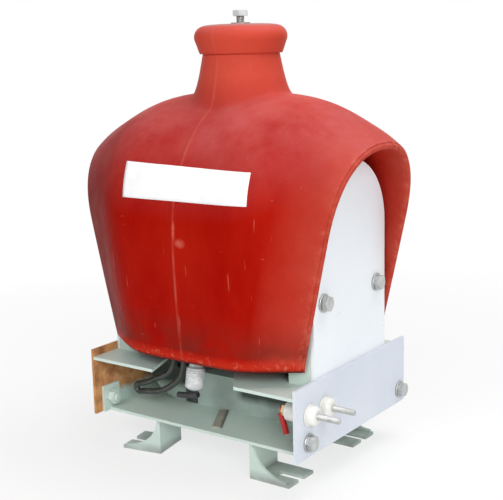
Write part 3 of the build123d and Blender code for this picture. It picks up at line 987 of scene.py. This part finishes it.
def addNeckAndHead(mesh, loop):
    fillet, rings = bodyLook["neckFillet"], bodyLook["neckRings"]
    waist = bodyLook["waist"][0]
    angles = [atan2(corner.co.y, corner.co.x) for corner in loop]
    ring = loop
    for step in range(1, rings + 1):
        inward = (1 - step / rings) ** bodyLook["neckCrowding"]
        fresh = []
        for corner, angle in zip(loop, angles):
            radius = waist + (hypot(corner.co.x, corner.co.y) - waist) * inward
            x, y = radius * cos(angle), radius * sin(angle)
            crown, neck = crownHeight(x, y), neckHeight(radius)
            near = max(fillet - abs(crown - neck), 0.0) / fillet
            seam = bodyLook["seam"] if abs(corner.co.x) < tiny else 0.0
            fresh.append(mesh.verts.new((x, y, max(crown, neck) + near * near * fillet / 4 + seam)))
        joinRings(mesh, ring, fresh)
        ring = fresh
    for radius, height in bodyLook["headProfile"]:
        fresh = [
            mesh.verts.new((radius * cos(angle), radius * sin(angle), height)) for angle in angles
        ]
        joinRings(mesh, ring, fresh)
        ring = fresh
    mesh.faces.new(ring)


def rimSteps():
    # round the rim of a hood: how far in from the outline, and how far out from the end face
    wall, bend = bodyLook["wall"], bodyLook["rimRound"]
    outer = [(bend * (1 - cos(t)), bend * sin(t) - bend) for t in np.radians([0, 30, 60, 90])]
    return outer + [(wall - inset, out) for inset, out in reversed(outer)]


def addHood(mesh, grid, shares, side):
    # rim, pocket walls and pocket floor of one end
    edge, base, wall = bodyLook["edgeRound"], bodyLook["lowerEdge"], bodyLook["wall"]
    lean = atan(endSlope)
    rimRows = [grid[-1] if side > 0 else grid[0]]
    for inset, out in rimSteps():
        row = []
        for y, up, ny, nz in bodyOutline(1.0):
            innerY, innerUp = y - ny * inset, up - nz * inset
            if up < edge:  # the foot of the wall stays on the lower edge's level
                inward = wall - edge + abs(abs(y) - (footAt(1.0) - edge))
                innerY = y - copysign(1, y) * min(1.0, inset / wall) * inward
                innerUp = up
            x = side * (bodyX(1.0, innerUp) + out * cos(lean))
            row.append(mesh.verts.new((x, innerY, base + max(innerUp - out * sin(lean), 0))))
        joinRings(mesh, rimRows[-1], row, closed=False)
        rimRows.append(row)
    rim = previous = rimRows[-1]
    floorX = side * bodyLook["pocketEnd"]
    outerShares = [share for share in shares if share * side >= pocketShare - tiny]
    outerShares.sort(key=abs, reverse=True)
    walls = []
    for share in outerShares:
        along = (abs(share) - pocketShare) / (1 - pocketShare)
        row = [mesh.verts.new((floorX + along * (v.co.x - floorX), v.co.y, v.co.z)) for v in rim]
        joinRings(mesh, previous, row, closed=False)
        previous = row
        walls.append(row)
    mesh.faces.new(previous)
    skin = [grid[shares.index(share)] for share in outerShares]
    for foot in (0, -1):  # the lower edge, in front and at the rear
        mesh.faces.new([row[foot] for row in rimRows] + [walls[0][foot]])
        for i in range(len(walls) - 1):
            mesh.faces.new((skin[i][foot], walls[i][foot], walls[i + 1][foot], skin[i + 1][foot]))


def addPad(mesh, side):
    # cast pad under the body
    centre = Vector((
        0,
        side * (bodyLook["padInner"] + bodyLook["padWidth"] / 2),
        bodyLook["lowerEdge"] - bodyLook["padHeight"] / 2 + bodyLook["padSunk"],
    ))
    size = (
        2 * bodyLook["padHalfLength"], bodyLook["padWidth"], bodyLook["padHeight"] + 2 * bodyLook["padSunk"]
    )
    place = Matrix.Translation(centre) @ Matrix.Diagonal((*size, 1))
    made = bmesh.ops.create_cube(mesh, matrix=place)
    edges = {line for corner in made["verts"] for line in corner.link_edges}
    bmesh.ops.bevel(mesh, geom=list(edges), offset=bodyLook["padRound"], segments=2, affect="EDGES")


def makeResinBody():
    mesh = bmesh.new()
    shares = bodyStations()
    grid = addSkin(mesh, shares)
    addNeckAndHead(mesh, closeSkin(mesh, grid, shares))
    for side in (-1, 1):
        addHood(mesh, grid, shares, side)
    middle = [row for row, share in zip(grid, shares) if abs(share) <= pocketShare + tiny]
    for row, nextRow in zip(middle, middle[1:]):
        mesh.faces.new((row[0], row[-1], nextRow[-1], nextRow[0]))
    bmesh.ops.remove_doubles(mesh, verts=mesh.verts, dist=tiny)
    for side in (-1, 1):
        addPad(mesh, side)
    return finishMesh(
        mesh, "resinBody", redResin, standsFor=("resin_body",), sharpAngle=None
    )


resinBody = makeResinBody()
print("resin body:", len(resinBody.data.polygons), "faces")

# Label, a bare plate
label = {
    "corners": ((-0.0645, 0.2899), (0.0754, 0.2863), (0.0768, 0.2587), (-0.0605, 0.2585)),
    "columns": 48,
    "rows": 12,
    "lift": 0.0006,
    "tuck": -0.0003,  # its edges are turned down into the body
    "slopeStep": 0.0005,
}


def frontFace(x, z):
    # y of the body's front at a place in the XZ plane
    up = z - bodyLook["lowerEdge"]
    return -halfWidth(x / bodyX(1.0, up), up)


def makeLabel():
    topLeft, topRight, lowRight, lowLeft = (Vector(corner) for corner in label["corners"])
    mesh = bmesh.new()
    grid = []
    for i in range(-1, label["rows"] + 2):
        row = []
        for j in range(-1, label["columns"] + 2):
            u, v = min(max(j / label["columns"], 0), 1), min(max(i / label["rows"], 0), 1)
            flat = topLeft.lerp(topRight, u).lerp(lowLeft.lerp(lowRight, u), v)
            y = frontFace(flat.x, flat.y)
            step = label["slopeStep"]
            slopeX = (frontFace(flat.x + step, flat.y) - y) / step
            slopeZ = (frontFace(flat.x, flat.y + step) - y) / step
            normal = Vector((slopeX, -1, slopeZ)).normalized()
            outside = j in (-1, label["columns"] + 1) or i in (-1, label["rows"] + 1)
            lift = label["tuck"] if outside else label["lift"]
            row.append(mesh.verts.new(Vector((flat.x, y, flat.y)) + normal * lift))
        grid.append(row)
    for upper, lower in zip(grid, grid[1:]):
        joinRings(mesh, upper, lower, closed=False)
    return finishMesh(mesh, "labelPlate", labelVinyl, sharpAngle=None)


makeLabel()
print("label on")

# Turned parts, threads and bolts
hexShape = {
    "turned": 0.95,  # the circle turned on its face, as a share of the flats
    "seat": 0.80,  # and of that circle
    "dish": 0.72,
    "dishDepth": 0.008,
    "cone": 30.0,
    "segments": 48,
}
threadShape = {
    "depth": 0.55,  # as a share of the pitch
    "rowsPerTurn": 5,
    "tipLength": 0.9,
    "tipShare": 0.80,
    "segments": 24,
}


def aimed(place, axis):
    # a frame with its Z along axis
    return Matrix.Translation(place) @ Vector(axis).to_track_quat("Z", "Y").to_matrix().to_4x4()


def addTurned(mesh, place, segments, shapes, ends):
    # a band through rings; its ends are open, capped, or joined to each other
    rings = [addRing(mesh, place, segments, shape) for shape in shapes]
    for lower, upper in zip(rings, rings[1:]):
        joinRings(mesh, lower, upper)
    if ends == "capped":
        mesh.faces.new(rings[0])
        mesh.faces.new(rings[-1])
    elif ends == "joined":
        joinRings(mesh, rings[-1], rings[0])


def addLathe(mesh, place, profile, segments=40, ends="open"):
    addTurned(mesh, place, segments, [lambda angle, corner=corner: corner for corner in profile], ends)


def addHexBody(mesh, place, flat, low, high, bore=None):
    # a hexagon whose corners are turned down to a cone, on both faces where it has a bore
    turned = flat / 2 * hexShape["turned"]
    drop = tan(radians(hexShape["cone"]))

    def hexRadius(angle):
        away = (angle + pi / 6) % (pi / 3) - pi / 6
        return flat / 2 / cos(away)

    def cone(angle):
        return (hexRadius(angle) - turned) * drop

    if bore:
        shapes = [
            lambda a: (bore, low),
            lambda a: (turned, low),
            lambda a: (hexRadius(a), low + cone(a)),
            lambda a: (hexRadius(a), high - cone(a)),
            lambda a: (turned, high),
            lambda a: (bore, high),
        ]
    else:
        shapes = [
            lambda a: (turned * hexShape["seat"], low),
            lambda a: (hexRadius(a), low),
            lambda a: (hexRadius(a), high - cone(a)),
            lambda a: (turned, high),
            lambda a: (turned * hexShape["dish"], high - flat * hexShape["dishDepth"]),
        ]
    addTurned(mesh, place, hexShape["segments"], shapes, "joined" if bore else "capped")


def addThread(mesh, place, radius, low, high, pitch):
    # V thread with a chamfered tip at the high end
    depth = pitch * threadShape["depth"]
    steps = max(4, int((high - low) / pitch * threadShape["rowsPerTurn"]))

    def groove(angle, height):
        tip = min(1.0, (high - height) / (pitch * threadShape["tipLength"]))
        taper = threadShape["tipShare"] + (1 - threadShape["tipShare"]) * tip
        phase = (height / pitch - angle / (2 * pi)) % 1.0
        return (radius - depth * abs(2 * phase - 1)) * taper, height

    heights = [low + (high - low) * j / steps for j in range(steps + 1)]
    shapes = [lambda angle, height=height: groove(angle, height) for height in heights]
    addTurned(mesh, place, threadShape["segments"], shapes, "capped")


bolt = {
    "flat": 0.013, "headHeight": 0.0053, "radius": 0.004, "pitch": 0.00125,
    "washerRadius": 0.0085, "washerThickness": 0.0016, "washerRound": 0.0003,
    "nutHeight": 0.0065, "nutPlay": 0.0002, "nutTurn": 1.7,
}


def addBolt(mesh, place, length, turn, washer=True, nutAt=None):
    seat = 0.0
    if washer:
        seat = bolt["washerThickness"]
        bore, outer, bend = bolt["radius"], bolt["washerRadius"], bolt["washerRound"]
        addLathe(mesh, place, (
            (bore, 0.0), (outer - bend, 0.0), (outer, bend),
            (outer, seat - bend), (outer - bend, seat), (bore, seat),
        ))
    spun = place @ Matrix.Rotation(turn, 4, "Z")
    addHexBody(mesh, spun, bolt["flat"], seat, seat + bolt["headHeight"])
    flipped = place @ Matrix.Rotation(pi, 4, "X")
    addThread(mesh, flipped, bolt["radius"], -seat, length, bolt["pitch"])
    if nutAt is not None:
        spun = flipped @ Matrix.Rotation(turn * bolt["nutTurn"], 4, "Z")
        addHexBody(
            mesh, spun, bolt["flat"], nutAt, nutAt + bolt["nutHeight"], bore=bolt["radius"] - bolt["nutPlay"]
        )


boltRows = {
    "end": {
        "face": 0.120, "y": (-0.079, 0.089), "z": 0.0495, "length": 0.0145, "turns": (0.4, 1.3),
        "nutAt": 0.006,
    },
    "cover": {
        "face": 0.117, "y": (-0.047, 0.047), "z": 0.168, "length": 0.008, "turns": (0.25, 1.55),
        "nutAt": None,
    },
}
nutSlack = 0.0001
for endName, side in (("left", -1), ("right", 1)):
    for kind, row in boltRows.items():
        mesh = bmesh.new()
        for y, turn in zip(row["y"], row["turns"]):
            place = aimed((side * row["face"], y, row["z"]), (side, 0, 0))
            addBolt(mesh, place, row["length"], turn, nutAt=row["nutAt"])
        bolts = finishMesh(
            mesh, f"{kind}Bolts{endName.capitalize()}", zincPlate,
            standsFor=(f"{kind}_bolts_{endName}",),
        )
        if kind == "end" and side < 0:  # the nuts on the left were sprayed over with the tray
            bolts.data.materials.append(greenPaint)
            for face in bolts.data.polygons:
                if face.center.x > row["nutAt"] - row["face"] - nutSlack:
                    face.material_index = 1

# High voltage terminal
terminal = {"headTop": 0.4115, "headAbove": 0.007, "depth": 0.022, "turn": 0.5}
mesh = bmesh.new()
place = aimed((0, 0, terminal["headTop"] + terminal["headAbove"]), (0, 0, 1))
addBolt(mesh, place, terminal["depth"], terminal["turn"], washer=False)
finishMesh(
    mesh, "highTerminalBolt", zincPlate,
    standsFor=("hv_terminal_bolt",),
)
print("bolts turned")

# Low voltage terminals
lowTerminal = {
    "y": (-0.077, -0.052),
    "z": 0.0745,
    "face": 0.120,
    "studRadius": 0.0029,
    "studOut": 0.031,
    "studIn": 0.031,
    "pitch": 0.001,
    "segments": 56,
    "bushProfile": (
        (0.0025, 0.0090), (0.0060, 0.0090), (0.0066, 0.0088), (0.0088, 0.0066), (0.0090, 0.0060),
        (0.0090, 0.0017), (0.0099, 0.0016), (0.0102, 0.0013), (0.0102, 0.0002), (0.0099, 0.0),
        (0.0060, 0.0), (0.0060, -0.003), (0.0087, -0.003), (0.0090, -0.0033), (0.0090, -0.0214),
        (0.0084, -0.022), (0.0025, -0.022), (0.0025, 0.0090),
    ),
}
for number, y in enumerate(lowTerminal["y"], start=1):
    place = aimed((lowTerminal["face"], y, lowTerminal["z"]), (1, 0, 0))
    mesh = bmesh.new()
    addLathe(mesh, place, lowTerminal["bushProfile"], lowTerminal["segments"])
    bmesh.ops.remove_doubles(mesh, verts=mesh.verts, dist=tiny)
    finishMesh(
        mesh, f"lowBush{number}", whiteNylon,
        standsFor=(f"lv_bush_{number}",),
    )
    mesh = bmesh.new()
    addThread(
        mesh, place, lowTerminal["studRadius"], -lowTerminal["studIn"],
        lowTerminal["studOut"], lowTerminal["pitch"],
    )
    finishMesh(
        mesh, f"lowStud{number}", zincPlate,
        standsFor=(f"lv_stud_{number}",),
    )
print("low voltage terminals set")

# Ribbed gland of the low voltage leads, under the body
gland = {
    "top": (-0.008, -0.072, 0.1063),
    "lean": 12.0,
    "length": 0.033,
    "radius": 0.0090,
    "hole": 0.0020,
    "neck": 0.0066,
    "neckLength": 0.0098,
    "shoulder": (0.0006, 0.0010),  # in from the radius, and down from the neck
    "ribs": 7,
    "ribSteps": 6,
    "ribDepth": 0.0005,
    "ribbed": (0.0115, 0.0275),
    "segments": 48,
}
lean = radians(gland["lean"])
inset, drop = gland["shoulder"]
profile = [
    (gland["hole"], 0.0), (gland["neck"], 0.0), (gland["neck"], gland["neckLength"]),
    (gland["radius"] - inset, gland["neckLength"] + drop),
]
low, high = gland["ribbed"]
steps = gland["ribSteps"] * gland["ribs"]
for i in range(steps + 1):
    wave = gland["ribDepth"] * (0.5 - 0.5 * cos(2 * pi * i / gland["ribSteps"]))
    profile.append((gland["radius"] - wave, low + (high - low) * i / steps))
profile += [
    (gland["radius"] * cos(turn), high + (gland["length"] - high) * sin(turn))
    for turn in np.radians(range(15, 90, 15))
]
mesh = bmesh.new()
place = aimed(gland["top"], (0, -sin(lean), -cos(lean)))
addLathe(mesh, place, profile, gland["segments"], ends="capped")
finishMesh(mesh, "leadGland", paleSleeve, standsFor=("lead_gland",))
print("gland set")
